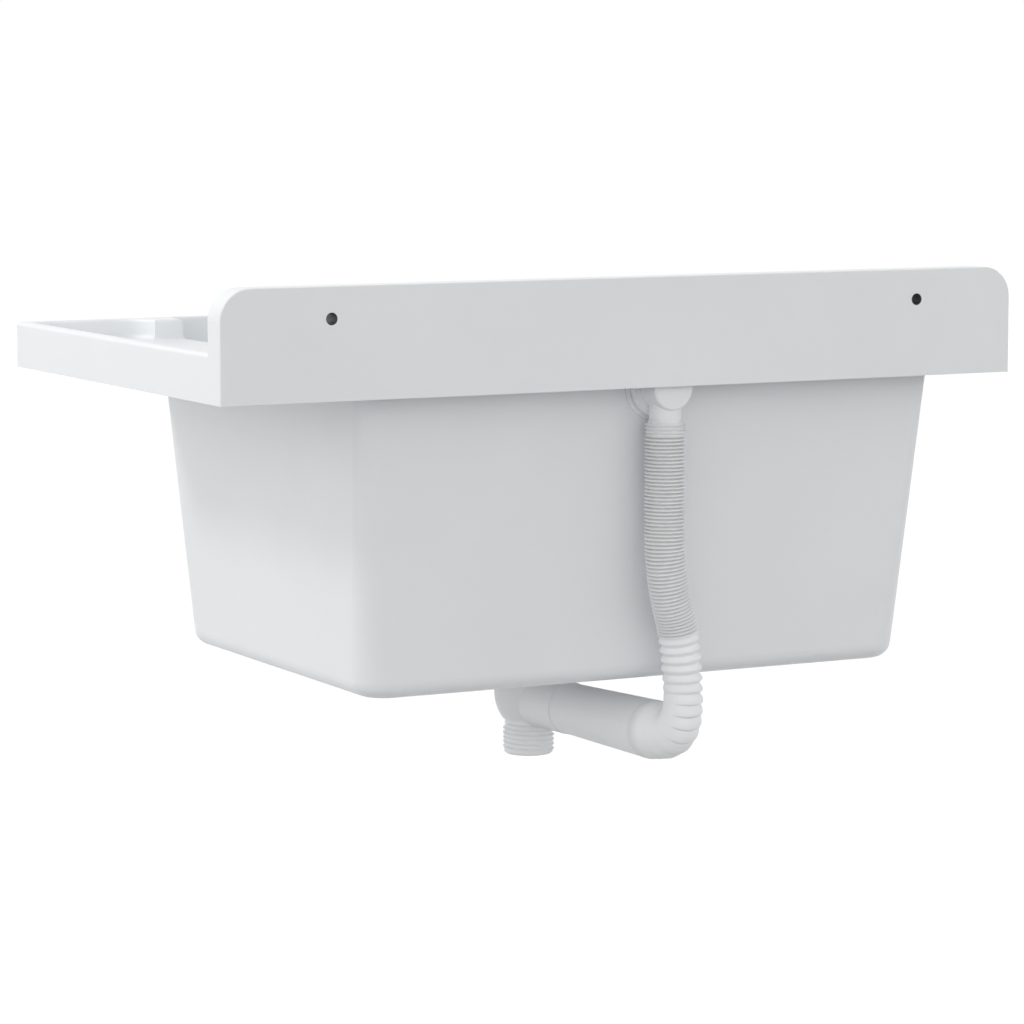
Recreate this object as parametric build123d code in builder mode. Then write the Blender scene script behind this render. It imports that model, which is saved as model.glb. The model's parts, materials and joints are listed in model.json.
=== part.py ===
"""Wall-hung utility sink with its waste and overflow, in millimetres.

Frame: the origin lies midway between the two wall-screw holes, on the wall face.
+X runs to the user's right, +Y into the wall and +Z up.
"""

import os
from math import cos, radians, sin, tan

from build123d import *

# Rim: a shallow slab with a thin lip, and an upstand along the wall
RIM_W = 600.0
RIM_D = 370.0
RIM_H = 32.0
RIM_CORNER_R = 6.0
LIP_R = 3.0
APRON_T = 8.0
BACK_APRON_T = 6.5
DECK_T = 6.0
UPSTAND_RISE = 42.0
UPSTAND_T = 22.0
UPSTAND_CORNER_R = 21.0
UPSTAND_EDGE_R = 3.0
UPSTAND_BACK_EDGE_R = 1.0
UPSTAND_COVE_R = 6.0

# Wall screws
SCREW_SPACING = 445.0
SCREW_DROP = 21.0
SCREW_HOLE_R = 4.0

# Tub: a tapered box, set off towards the user's left
TUB_W = 446.0
TUB_OFFSET_X = -34.5
TUB_BACK_GAP = 35.0
TUB_FRONT_GAP = 1.8
TUB_DROP = 205.5
TUB_DRAFT_DEG = 3.45
TUB_WALL = 6.0
TUB_FLOOR = 9.0
TUB_CORNER_R = 5.0
TUB_FOOT_CORNER_R = 25.0
TUB_FOOT_R = 12.0
BOWL_CORNER_R = 12.0
BOWL_FOOT_CORNER_R = 26.0
BOWL_FOOT_R = 18.0
BOWL_EDGE_R = 2.0
FLOOR_FALL = 2.0
FLOOR_FALL_R = 96.0

# Side tray: a shallow recess right of the tub, open to it by a wide mouth
TRAY_LIP = 9.0
TRAY_FRONT_LIP = 13.0
TRAY_GAP = 17.0
TRAY_DEPTH = 14.0
TRAY_BACK = 41.0
TRAY_CORNER_R = 20.0
TRAY_LIP_CORNER_R = 4.0
TRAY_FLOOR_R = 4.0
MOUTH_CHEEK = 20.0

# Waste: strainer in the floor, body below it, threaded tail for the trap
WASTE_FORWARD = 15.9
WASTE_HOLE_R = 28.0
WASTE_SEAT_T = 5.0
STRAINER_R = 35.0
STRAINER_T = 1.2
STRAINER_RIM = 6.0
STRAINER_DISH_R = 22.0
STRAINER_DISH_H = 6.0
STRAINER_EDGE_GAP = 1.0
STRAINER_HOLE_R = 2.5
STRAINER_OUTER_RING_R = 17.0
STRAINER_OUTER_HOLES = 12
STRAINER_INNER_RING_R = 10.5
STRAINER_INNER_HOLES = 6
STRAINER_SEAL_T = 1.5
STRAINER_SEAL_LAND = 5.5
WASTE_SCREW_R = 3.0
WASTE_SCREW_HEAD_R = 5.5
WASTE_SCREW_HEAD_H = 2.5
WASTE_SCREW_L = 26.0
SCREW_HEAD_TAPER = 1.0
SCREW_SLOT_W = 1.4
SCREW_SLOT_DEPTH = 1.2
WASTE_INSERT_R = 5.0
WASTE_INSERT_H = 12.0
WASTE_GASKET_T = 3.0
WASTE_FLANGE_R = 36.0
WASTE_FLANGE_T = 4.0
WASTE_BODY_R = 25.0
WASTE_BODY_H = 30.0
WASTE_WALL = 3.0
WASTE_TAPER_H = 19.0
WASTE_HUB_R = 8.0
WASTE_HUB_DROP = 5.0
WASTE_ARM_T = 4.0
TAIL_R = 17.6
TAIL_SHOULDER_R = 18.6
TAIL_L = 25.5
TAIL_NECK_L = 11.5
TAIL_NECK_R = 17.3
TAIL_CHAMFER = 1.0
TAIL_WALL = 2.4

# Side inlet of the waste body, and the smooth cuff pushed into it
INLET_DROP = 37.5
INLET_TURN_DEG = 5.0
INLET_R = 18.8
INLET_REACH = 55.0
INLET_BORE_R = 13.5
SOCKET_DEPTH = 24.0
CUFF_R = 18.2
CUFF_END_R = 20.6
CUFF_NECK_R = 16.0
CUFF_BORE_R = 13.5
CUFF_TO_BEND = 3.2
CUFF_EDGE_R = 0.5
SEAL_GROOVE_W = 4.0
SEAL_GROOVE_DEPTH = 1.4
SEAL_FROM_MOUTH = 8.0

# Overflow: rosette in the tub, elbow behind it
OVERFLOW_DROP = 34.5
OVERFLOW_HOLE_R = 13.0
SEAT_R = 23.0
SEAT_INNER = 39.8
SEAT_WALL = 6.3
ROSETTE_R = 22.0
ROSETTE_T = 2.5
ROSETTE_SLOT_R = 2.8
ROSETTE_SLOTS = 8
ROSETTE_SLOT_RING = 8.8
OVERFLOW_SCREW_R = 2.5
OVERFLOW_SCREW_HEAD_R = 4.5
OVERFLOW_SCREW_HEAD_H = 2.0
OVERFLOW_SCREW_L = 22.0
OVERFLOW_INSERT_R = 3.6
OVERFLOW_INSERT_L = 9.0
OVERFLOW_POST_R = 5.4
OVERFLOW_GASKET_T = 2.0
OVERFLOW_FLANGE_R = 20.3
OVERFLOW_FLANGE_T = 3.0
ELBOW_R = 14.8
ELBOW_L = 20.5
ELBOW_WALL = 2.6
ELBOW_EDGE_R = 2.0
SPIGOT_R = 11.0
SPIGOT_WALL = 2.2
SPIGOT_L = 40.0
SPIGOT_FROM_FLANGE = 8.0

# Ribbed hose from the elbow's spigot to the cuff
HOSE_DROP = 21.5
HOSE_STRAIGHT = 106.0
HOSE_DRIFT_L = 50.0
HOSE_BOTTOM_BACK = 25.0
HOSE_BEND_R = 30.0
HOSE_DRIFT_R = 90.0
HOSE_CREST_R = 14.0
HOSE_RIB_DEPTH = 2.0
HOSE_WALL = 0.8
FINE_RIBS = 59
FINE_PITCH = 2.5
COARSE_PITCH = 7.3
COARSE_CREST_R = 18.0
COARSE_RIB_DEPTH = 2.2
HOSE_END_R = 16.0
COLLAR_L = 7.0

# Plug that lifts out of the strainer
PLUG_R = 30.0
PLUG_FLANGE_T = 4.0
PLUG_EDGE = 1.0
PLUG_DEPTH = 4.4
PLUG_HOLLOW_R = 8.0
PLUG_HOLLOW_H = 3.2
GRIP_PIN_R = 3.0
GRIP_PIN_L = 3.5
GRIP_STEM_R = 4.0
GRIP_STEM_H = 12.0
GRIP_KNOB_R = 9.0
GRIP_KNOB_H = 7.0
GRIP_EDGE_R = 2.4

# Clearances
FIT = 0.2
RUN = 0.3
OVER = 5.0

# Levels and places that follow from the sizes
UPSTAND_TOP = SCREW_DROP
LIP_TOP = UPSTAND_TOP - UPSTAND_RISE
RIM_BOTTOM = LIP_TOP - RIM_H
TUB_BOTTOM = RIM_BOTTOM - TUB_DROP
FLOOR_TOP = TUB_BOTTOM + TUB_FLOOR
TUB_D = RIM_D - TUB_BACK_GAP - TUB_FRONT_GAP
TUB_Y = -TUB_BACK_GAP - TUB_D / 2
TUB_SLOPE = tan(radians(TUB_DRAFT_DEG))
TRAY_FLOOR = LIP_TOP - TRAY_DEPTH
WASTE_X = TUB_OFFSET_X
WASTE_Y = TUB_Y - WASTE_FORWARD
OVERFLOW_X = TUB_OFFSET_X
OVERFLOW_Z = LIP_TOP - OVERFLOW_DROP

os.makedirs("parts", exist_ok=True)


def draw_in(z, wall):
    """How far the tub's wall stands in from its size at the rim's underside."""
    return wall + (RIM_BOTTOM - z) * TUB_SLOPE


def tub_section(z, wall, corner_r):
    """Rounded rectangle of the tub at one height, drawn in by a wall."""
    inset = draw_in(z, wall)
    with BuildSketch(Plane.XY.offset(z)) as outline:
        with Locations((TUB_OFFSET_X, TUB_Y)):
            RectangleRounded(TUB_W - 2 * inset, TUB_D - 2 * inset, corner_r)
    return outline.sketch


def half_section(plane, points):
    """Closed half section of a turned piece, as radius and height pairs."""
    with BuildSketch(plane) as outline:
        with BuildLine():
            Polyline(*points, close=True)
        make_face()
    return outline.sketch


def block(x0, x1, y0, y1):
    """Rectangle between two corners, at its sketch's height."""
    return ((x0 + x1) / 2, (y0 + y1) / 2), x1 - x0, y1 - y0


def keep(piece, name):
    """Name a finished piece and write it."""
    piece.part.label = name
    export_step(piece.part, f"parts/{name}.step")
    box = piece.part.bounding_box()
    print(f"{name:18s} {piece.part.volume / 1000:9.2f} cm3", box.min, box.max)


# Tub skin: the outside of the tapered box, rounded along its foot
with BuildPart() as tub_skin:
    loft(
        [
            tub_section(LIP_TOP - DECK_T, 0.0, TUB_CORNER_R),
            tub_section(TUB_BOTTOM, 0.0, TUB_FOOT_CORNER_R),
        ],
        ruled=True,
    )
    fillet(tub_skin.faces().sort_by(Axis.Z)[0].edges(), TUB_FOOT_R)

# Bowl: the space inside the tub, with a gentle fall to the waste
WASTE_AXIS = Axis((WASTE_X, WASTE_Y, 0), (0, 0, 1))
WASTE_HALF = Plane(origin=(WASTE_X, WASTE_Y, 0), x_dir=(1, 0, 0), z_dir=(0, -1, 0))
SEAT_Z = TUB_BOTTOM + WASTE_SEAT_T
RECESS_R = STRAINER_R + STRAINER_EDGE_GAP

with BuildPart() as bowl:
    loft(
        [
            tub_section(LIP_TOP + OVER, TUB_WALL, BOWL_CORNER_R),
            tub_section(FLOOR_TOP, TUB_WALL, BOWL_FOOT_CORNER_R),
        ],
        ruled=True,
    )
    fillet(bowl.faces().sort_by(Axis.Z)[0].edges(), BOWL_FOOT_R)
    fall = [
        (0, FLOOR_TOP),
        (FLOOR_FALL_R, FLOOR_TOP),
        (RECESS_R, FLOOR_TOP - FLOOR_FALL),
        (RECESS_R, SEAT_Z),
        (WASTE_HOLE_R, SEAT_Z),
        (WASTE_HOLE_R, TUB_BOTTOM - OVER),
        (0, TUB_BOTTOM - OVER),
    ]
    revolve(half_section(WASTE_HALF, fall), axis=WASTE_AXIS)

# Tray: the side recess and its mouth to the bowl
TRAY_X1 = RIM_W / 2 - TRAY_LIP
TRAY_X0 = TUB_OFFSET_X + TUB_W / 2 + TRAY_GAP
TRAY_Y0 = -RIM_D + TRAY_FRONT_LIP
MOUTH_X0 = TUB_OFFSET_X + TUB_W / 2 - draw_in(LIP_TOP, TUB_WALL) - OVER

with BuildPart() as tray:
    with BuildSketch(Plane.XY.offset(TRAY_FLOOR)) as tray_outline:
        middle, wide, deep = block(TRAY_X0, TRAY_X1, TRAY_Y0, -TRAY_BACK)
        with Locations(middle):
            Rectangle(wide, deep)
        corners = tray_outline.vertices().group_by(Axis.X)
        fillet(corners[0], TRAY_CORNER_R)
        corners = tray_outline.vertices().group_by(Axis.X)
        fillet(corners[-1], TRAY_LIP_CORNER_R)
        middle, wide, deep = block(
            MOUTH_X0, TRAY_X0 + TRAY_CORNER_R, TRAY_Y0 + MOUTH_CHEEK, -TRAY_BACK - MOUTH_CHEEK
        )
        with Locations(middle):
            Rectangle(wide, deep)
    extrude(amount=TRAY_DEPTH + OVER)
    fillet(tray.faces().sort_by(Axis.Z)[0].edges(), TRAY_FLOOR_R)

# Underside: the hollow between the apron and the tub, shallower below the tray
with BuildPart() as underside:
    with BuildSketch(Plane.XY.offset(RIM_BOTTOM - OVER)):
        middle, wide, deep = block(
            APRON_T - RIM_W / 2, RIM_W / 2 - APRON_T, APRON_T - RIM_D, -BACK_APRON_T
        )
        with Locations(middle):
            Rectangle(wide, deep)
    extrude(amount=OVER + RIM_H - DECK_T)
    with BuildSketch(Plane.XY.offset(TRAY_FLOOR - DECK_T)):
        middle, wide, deep = block(TUB_OFFSET_X + TUB_W / 2 - OVER, RIM_W / 2, -RIM_D, 0)
        with Locations(middle):
            Rectangle(wide, deep)
    extrude(amount=TRAY_DEPTH, mode=Mode.SUBTRACT)
    add(tub_skin.part, mode=Mode.SUBTRACT)

# Basin: one casting of rim, upstand and tub
OVERFLOW_AXIS = Axis((OVERFLOW_X, 0, OVERFLOW_Z), (0, 1, 0))
OVERFLOW_HALF = Plane(origin=(OVERFLOW_X, 0, OVERFLOW_Z), x_dir=(0, 0, 1), z_dir=(-1, 0, 0))
SEAT_OUTER = SEAT_INNER - SEAT_WALL

with BuildPart() as upstand:
    with BuildSketch(Plane.XZ) as upstand_outline:
        with Locations((0, (UPSTAND_TOP + RIM_BOTTOM) / 2)):
            Rectangle(RIM_W, UPSTAND_TOP - RIM_BOTTOM)
        fillet(upstand_outline.vertices().group_by(Axis.Y)[-1], UPSTAND_CORNER_R)
    extrude(amount=UPSTAND_T)
    for face, edge_r in ((0, UPSTAND_EDGE_R), (-1, UPSTAND_BACK_EDGE_R)):
        outline = upstand.faces().filter_by(Plane.XZ).sort_by(Axis.Y)[face].edges()
        fillet(outline.filter_by_position(Axis.Z, RIM_BOTTOM + edge_r, UPSTAND_TOP), edge_r)
    cove = [
        (-UPSTAND_T, LIP_TOP + UPSTAND_COVE_R),
        (-UPSTAND_T, LIP_TOP),
        (-UPSTAND_T - UPSTAND_COVE_R, LIP_TOP),
    ]
    with BuildSketch(Plane.YZ.offset(LIP_R - RIM_W / 2)):
        with BuildLine():
            Polyline(*cove)
            RadiusArc(cove[2], cove[0], UPSTAND_COVE_R)
        make_face()
    extrude(amount=RIM_W - 2 * LIP_R)

with BuildPart() as basin:
    with BuildSketch(Plane.XY.offset(RIM_BOTTOM)) as rim_outline:
        middle, wide, deep = block(-RIM_W / 2, RIM_W / 2, -RIM_D, -UPSTAND_T / 2)
        with Locations(middle):
            Rectangle(wide, deep)
        fillet(rim_outline.vertices().group_by(Axis.Y)[0], RIM_CORNER_R)
    extrude(amount=RIM_H)
    lip_edges = basin.faces().sort_by(Axis.Z)[-1].edges().sort_by(Axis.Y)[:-1]
    fillet(lip_edges, LIP_R)
    add(upstand.part)
    add(tub_skin.part)
    add(underside.part, mode=Mode.SUBTRACT)
    add(bowl.part, mode=Mode.SUBTRACT)
    add(tray.part, mode=Mode.SUBTRACT)
    lip_face = basin.faces().filter_by(Plane.XY).filter_by_position(Axis.Z, LIP_TOP - FIT, LIP_TOP + FIT)
    fillet(lip_face.sort_by(SortBy.AREA)[-1].inner_wires()[0].edges(), BOWL_EDGE_R)
    seat = [
        (0, -SEAT_INNER),
        (SEAT_R, -SEAT_INNER),
        (SEAT_R, -SEAT_OUTER),
        (0, -SEAT_OUTER),
    ]
    revolve(half_section(OVERFLOW_HALF, seat), axis=OVERFLOW_AXIS)
    spot = [
        (0, -SEAT_INNER - OVER),
        (SEAT_R, -SEAT_INNER - OVER),
        (SEAT_R, -SEAT_INNER),
        (OVERFLOW_HOLE_R, -SEAT_INNER),
        (OVERFLOW_HOLE_R, -SEAT_OUTER + OVER),
        (0, -SEAT_OUTER + OVER),
    ]
    revolve(half_section(OVERFLOW_HALF, spot), axis=OVERFLOW_AXIS, mode=Mode.SUBTRACT)
    with Locations(Plane.XZ):
        with GridLocations(SCREW_SPACING, 1, 2, 1):
            Hole(SCREW_HOLE_R)

keep(basin, "basin")

# Strainer: a dished plate on a seal in the floor's recess, held by one screw
STRAINER_Z = SEAT_Z + STRAINER_SEAL_T
RIM_INNER_R = STRAINER_R - STRAINER_RIM
DISH_Z = STRAINER_Z - STRAINER_DISH_H

with BuildPart() as strainer_seal:
    ring = [
        (STRAINER_R - STRAINER_SEAL_LAND, SEAT_Z),
        (STRAINER_R, SEAT_Z),
        (STRAINER_R, STRAINER_Z),
        (STRAINER_R - STRAINER_SEAL_LAND, STRAINER_Z),
    ]
    revolve(half_section(WASTE_HALF, ring), axis=WASTE_AXIS)

with BuildPart() as strainer:
    dish = [
        (0, DISH_Z),
        (STRAINER_DISH_R, DISH_Z),
        (RIM_INNER_R, STRAINER_Z),
        (STRAINER_R, STRAINER_Z),
        (STRAINER_R, STRAINER_Z + STRAINER_T),
        (RIM_INNER_R, STRAINER_Z + STRAINER_T),
        (STRAINER_DISH_R, DISH_Z + STRAINER_T),
        (0, DISH_Z + STRAINER_T),
    ]
    revolve(half_section(WASTE_HALF, dish), axis=WASTE_AXIS)
    with Locations((WASTE_X, WASTE_Y, DISH_Z + STRAINER_T)):
        Hole(WASTE_SCREW_R + FIT, depth=2 * STRAINER_T)
        with PolarLocations(STRAINER_OUTER_RING_R, STRAINER_OUTER_HOLES):
            Hole(STRAINER_HOLE_R, depth=2 * STRAINER_T)
        with PolarLocations(STRAINER_INNER_RING_R, STRAINER_INNER_HOLES):
            Hole(STRAINER_HOLE_R, depth=2 * STRAINER_T)

# Waste body: flange, bowl-shaped body with a screw hub, tail and side inlet
GASKET_Z = TUB_BOTTOM - WASTE_GASKET_T
BODY_Z = GASKET_Z - WASTE_BODY_H
TAPER_Z = BODY_Z - WASTE_TAPER_H
TAIL_Z = TAPER_Z - TAIL_L
HUB_Z = GASKET_Z - WASTE_HUB_DROP
INLET_Z = TUB_BOTTOM - INLET_DROP
INLET_DIR = Vector(-sin(radians(INLET_TURN_DEG)), cos(radians(INLET_TURN_DEG)), 0)
INLET_ORIGIN = Vector(WASTE_X, WASTE_Y, INLET_Z)
INLET_AXIS = Axis(INLET_ORIGIN, INLET_DIR)
INLET_HALF = Plane(origin=INLET_ORIGIN, x_dir=(0, 0, 1), z_dir=Vector(0, 0, 1).cross(INLET_DIR))
SOCKET_R = CUFF_NECK_R + FIT
SOCKET_FLOOR = INLET_REACH - SOCKET_DEPTH
GROOVE_1 = INLET_REACH - SEAL_FROM_MOUTH
GROOVE_0 = GROOVE_1 - SEAL_GROOVE_W
INSERT_BOTTOM = HUB_Z - WASTE_INSERT_H

with BuildPart() as waste_gasket:
    ring = [
        (WASTE_HOLE_R, GASKET_Z),
        (WASTE_FLANGE_R, GASKET_Z),
        (WASTE_FLANGE_R, TUB_BOTTOM),
        (WASTE_HOLE_R, TUB_BOTTOM),
    ]
    revolve(half_section(WASTE_HALF, ring), axis=WASTE_AXIS)

with BuildPart() as waste_body:
    with BuildSketch(WASTE_HALF):
        with BuildLine():
            FLANGE_Z = GASKET_Z - WASTE_FLANGE_T
            Polyline(
                (0, TAIL_Z),
                (TAIL_R - TAIL_CHAMFER, TAIL_Z),
                (TAIL_R, TAIL_Z + TAIL_CHAMFER),
                (TAIL_R, TAPER_Z - TAIL_NECK_L),
                (TAIL_NECK_R, TAPER_Z - TAIL_NECK_L),
                (TAIL_NECK_R, TAPER_Z),
                (TAIL_SHOULDER_R, TAPER_Z),
            )
            TangentArc((WASTE_BODY_R, BODY_Z), (TAIL_SHOULDER_R, TAPER_Z), tangent=(0, -1))
            Polyline(
                (WASTE_BODY_R, BODY_Z),
                (WASTE_BODY_R, FLANGE_Z),
                (WASTE_FLANGE_R, FLANGE_Z),
                (WASTE_FLANGE_R, GASKET_Z),
                (0, GASKET_Z),
                (0, TAIL_Z),
            )
        make_face()
    revolve(axis=WASTE_AXIS)
    boss = [(0, 0), (INLET_R, 0), (INLET_R, INLET_REACH), (0, INLET_REACH)]
    revolve(half_section(INLET_HALF, boss), axis=INLET_AXIS)
    inside = [
        (0, TAIL_Z - OVER),
        (TAIL_R - TAIL_WALL, TAIL_Z - OVER),
        (TAIL_R - TAIL_WALL, TAPER_Z),
        (WASTE_BODY_R - WASTE_WALL, BODY_Z),
        (WASTE_BODY_R - WASTE_WALL, GASKET_Z + OVER),
        (0, GASKET_Z + OVER),
    ]
    revolve(half_section(WASTE_HALF, inside), axis=WASTE_AXIS, mode=Mode.SUBTRACT)
    inlet = [
        (0, 0),
        (INLET_BORE_R, 0),
        (INLET_BORE_R, SOCKET_FLOOR),
        (SOCKET_R, SOCKET_FLOOR),
        (SOCKET_R, GROOVE_0),
        (SOCKET_R + SEAL_GROOVE_DEPTH, GROOVE_0),
        (SOCKET_R + SEAL_GROOVE_DEPTH, GROOVE_1),
        (SOCKET_R, GROOVE_1),
        (SOCKET_R, INLET_REACH + OVER),
        (0, INLET_REACH + OVER),
    ]
    revolve(half_section(INLET_HALF, inlet), axis=INLET_AXIS, mode=Mode.SUBTRACT)
    with BuildSketch(Plane.XY.offset(HUB_Z)):
        with Locations((WASTE_X, WASTE_Y)):
            Circle(WASTE_HUB_R)
            with PolarLocations(WASTE_BODY_R / 2, 3, start_angle=-90):
                Rectangle(WASTE_BODY_R - WASTE_WALL / 2, WASTE_ARM_T)
    extrude(amount=-WASTE_INSERT_H)
    with Locations((WASTE_X, WASTE_Y, HUB_Z)):
        Hole(WASTE_INSERT_R, depth=WASTE_INSERT_H)

with BuildPart() as waste_insert:
    sleeve = [
        (WASTE_SCREW_R, INSERT_BOTTOM),
        (WASTE_INSERT_R, INSERT_BOTTOM),
        (WASTE_INSERT_R, HUB_Z),
        (WASTE_SCREW_R, HUB_Z),
    ]
    revolve(half_section(WASTE_HALF, sleeve), axis=WASTE_AXIS)

HEAD_Z = DISH_Z + STRAINER_T
with BuildPart() as waste_screw:
    pan = [
        (0, HEAD_Z - WASTE_SCREW_L),
        (WASTE_SCREW_R, HEAD_Z - WASTE_SCREW_L),
        (WASTE_SCREW_R, HEAD_Z),
        (WASTE_SCREW_HEAD_R, HEAD_Z),
        (WASTE_SCREW_HEAD_R - SCREW_HEAD_TAPER, HEAD_Z + WASTE_SCREW_HEAD_H),
        (0, HEAD_Z + WASTE_SCREW_HEAD_H),
    ]
    revolve(half_section(WASTE_HALF, pan), axis=WASTE_AXIS)
    with BuildSketch(Plane.XY.offset(HEAD_Z + WASTE_SCREW_HEAD_H)):
        with Locations((WASTE_X, WASTE_Y)):
            Rectangle(2 * WASTE_SCREW_HEAD_R, SCREW_SLOT_W)
    extrude(amount=-SCREW_SLOT_DEPTH, mode=Mode.SUBTRACT)

# Cuff: the smooth end of the hose, pushed into the side inlet over a seal
BOTTOM_REACH = (-HOSE_BOTTOM_BACK - WASTE_Y) / INLET_DIR.Y
CUFF_END = BOTTOM_REACH - HOSE_BEND_R - CUFF_TO_BEND
HOSE_TIP = CUFF_END - 2 * HOSE_CREST_R

with BuildPart() as inlet_seal:
    ring = [
        (CUFF_NECK_R, GROOVE_0),
        (SOCKET_R + SEAL_GROOVE_DEPTH, GROOVE_0),
        (SOCKET_R + SEAL_GROOVE_DEPTH, GROOVE_1),
        (CUFF_NECK_R, GROOVE_1),
    ]
    revolve(half_section(INLET_HALF, ring), axis=INLET_AXIS)

with BuildPart() as hose_cuff:
    sleeve = [
        (CUFF_BORE_R, SOCKET_FLOOR),
        (CUFF_NECK_R, SOCKET_FLOOR),
        (CUFF_NECK_R, INLET_REACH),
        (CUFF_R, INLET_REACH),
        (CUFF_END_R, CUFF_END),
        (HOSE_END_R + FIT, CUFF_END),
        (HOSE_END_R + FIT, HOSE_TIP),
        (CUFF_BORE_R, HOSE_TIP),
    ]
    revolve(half_section(INLET_HALF, sleeve), axis=INLET_AXIS)
    mouth = hose_cuff.edges().filter_by(GeomType.CIRCLE).sort_by(SortBy.RADIUS)[-1]
    fillet(mouth, CUFF_EDGE_R)

# Overflow: rosette and screw in the tub, gasket and elbow behind its wall
FLANGE_0 = -SEAT_OUTER + OVERFLOW_GASKET_T
FLANGE_1 = FLANGE_0 + OVERFLOW_FLANGE_T
CAP_Y = FLANGE_1 + ELBOW_L
POST_Y = FLANGE_0
SPIGOT_Y = FLANGE_1 + SPIGOT_FROM_FLANGE
SPIGOT_BORE_R = SPIGOT_R - SPIGOT_WALL
ROSETTE_Y = -SEAT_INNER - ROSETTE_T

with BuildPart() as overflow_gasket:
    ring = [
        (OVERFLOW_HOLE_R, -SEAT_OUTER),
        (OVERFLOW_FLANGE_R, -SEAT_OUTER),
        (OVERFLOW_FLANGE_R, FLANGE_0),
        (OVERFLOW_HOLE_R, FLANGE_0),
    ]
    revolve(half_section(OVERFLOW_HALF, ring), axis=OVERFLOW_AXIS)

with BuildPart() as overflow_body:
    elbow = [
        (0, FLANGE_0),
        (OVERFLOW_FLANGE_R, FLANGE_0),
        (OVERFLOW_FLANGE_R, FLANGE_1),
        (ELBOW_R, FLANGE_1),
        (ELBOW_R, CAP_Y),
        (0, CAP_Y),
    ]
    revolve(half_section(OVERFLOW_HALF, elbow), axis=OVERFLOW_AXIS)
    fillet(overflow_body.faces().sort_by(Axis.Y)[-1].edges(), ELBOW_EDGE_R)
    with BuildSketch(Plane.XY.offset(OVERFLOW_Z)):
        with Locations((OVERFLOW_X, SPIGOT_Y)):
            Circle(SPIGOT_R)
    extrude(amount=-SPIGOT_L)
    with BuildSketch(Plane.XY.offset(OVERFLOW_Z)):
        with Locations((OVERFLOW_X, SPIGOT_Y)):
            Circle(SPIGOT_BORE_R)
    extrude(amount=-SPIGOT_L, mode=Mode.SUBTRACT)
    hollow = [
        (0, FLANGE_0 - OVER),
        (ELBOW_R - ELBOW_WALL, FLANGE_0 - OVER),
        (ELBOW_R - ELBOW_WALL, CAP_Y - ELBOW_WALL),
        (0, CAP_Y - ELBOW_WALL),
    ]
    revolve(half_section(OVERFLOW_HALF, hollow), axis=OVERFLOW_AXIS, mode=Mode.SUBTRACT)
    post = [
        (OVERFLOW_INSERT_R, POST_Y),
        (OVERFLOW_POST_R, POST_Y),
        (OVERFLOW_POST_R, CAP_Y - ELBOW_WALL / 2),
        (OVERFLOW_SCREW_R + FIT, CAP_Y - ELBOW_WALL / 2),
        (OVERFLOW_SCREW_R + FIT, POST_Y + OVERFLOW_INSERT_L),
        (OVERFLOW_INSERT_R, POST_Y + OVERFLOW_INSERT_L),
    ]
    revolve(half_section(OVERFLOW_HALF, post), axis=OVERFLOW_AXIS)

with BuildPart() as overflow_insert:
    sleeve = [
        (OVERFLOW_SCREW_R, POST_Y),
        (OVERFLOW_INSERT_R, POST_Y),
        (OVERFLOW_INSERT_R, POST_Y + OVERFLOW_INSERT_L),
        (OVERFLOW_SCREW_R, POST_Y + OVERFLOW_INSERT_L),
    ]
    revolve(half_section(OVERFLOW_HALF, sleeve), axis=OVERFLOW_AXIS)

with BuildPart() as overflow_rosette:
    plate = [
        (0, ROSETTE_Y),
        (ROSETTE_R - ROSETTE_T, ROSETTE_Y),
        (ROSETTE_R, -SEAT_INNER),
        (0, -SEAT_INNER),
    ]
    revolve(half_section(OVERFLOW_HALF, plate), axis=OVERFLOW_AXIS)
    with Locations(Plane(origin=(OVERFLOW_X, ROSETTE_Y, OVERFLOW_Z), z_dir=(0, -1, 0))):
        Hole(OVERFLOW_SCREW_R + FIT, depth=2 * ROSETTE_T)
        with PolarLocations(ROSETTE_SLOT_RING, ROSETTE_SLOTS):
            Hole(ROSETTE_SLOT_R, depth=2 * ROSETTE_T)

with BuildPart() as overflow_screw:
    pan = [
        (0, ROSETTE_Y - OVERFLOW_SCREW_HEAD_H),
        (OVERFLOW_SCREW_HEAD_R - SCREW_HEAD_TAPER, ROSETTE_Y - OVERFLOW_SCREW_HEAD_H),
        (OVERFLOW_SCREW_HEAD_R, ROSETTE_Y),
        (OVERFLOW_SCREW_R, ROSETTE_Y),
        (OVERFLOW_SCREW_R, ROSETTE_Y + OVERFLOW_SCREW_L),
        (0, ROSETTE_Y + OVERFLOW_SCREW_L),
    ]
    revolve(half_section(OVERFLOW_HALF, pan), axis=OVERFLOW_AXIS)
    head = Plane(origin=(OVERFLOW_X, ROSETTE_Y - OVERFLOW_SCREW_HEAD_H, OVERFLOW_Z), z_dir=(0, -1, 0))
    with BuildSketch(head):
        Rectangle(2 * OVERFLOW_SCREW_HEAD_R, SCREW_SLOT_W)
    extrude(amount=-SCREW_SLOT_DEPTH, mode=Mode.SUBTRACT)

# Hose: down the tub's back, a small drift sideways, then a bend into the cuff
HOSE_TOP = OVERFLOW_Z - HOSE_DROP
BEND_CORNER = INLET_ORIGIN + INLET_DIR * BOTTOM_REACH
HOSE_ROUTE = [
    Vector(OVERFLOW_X, SPIGOT_Y, HOSE_TOP),
    Vector(OVERFLOW_X, SPIGOT_Y, HOSE_TOP - HOSE_STRAIGHT),
    Vector(BEND_CORNER.X, BEND_CORNER.Y, HOSE_TOP - HOSE_STRAIGHT - HOSE_DRIFT_L),
    BEND_CORNER,
    INLET_ORIGIN + INLET_DIR * HOSE_TIP,
]

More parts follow.
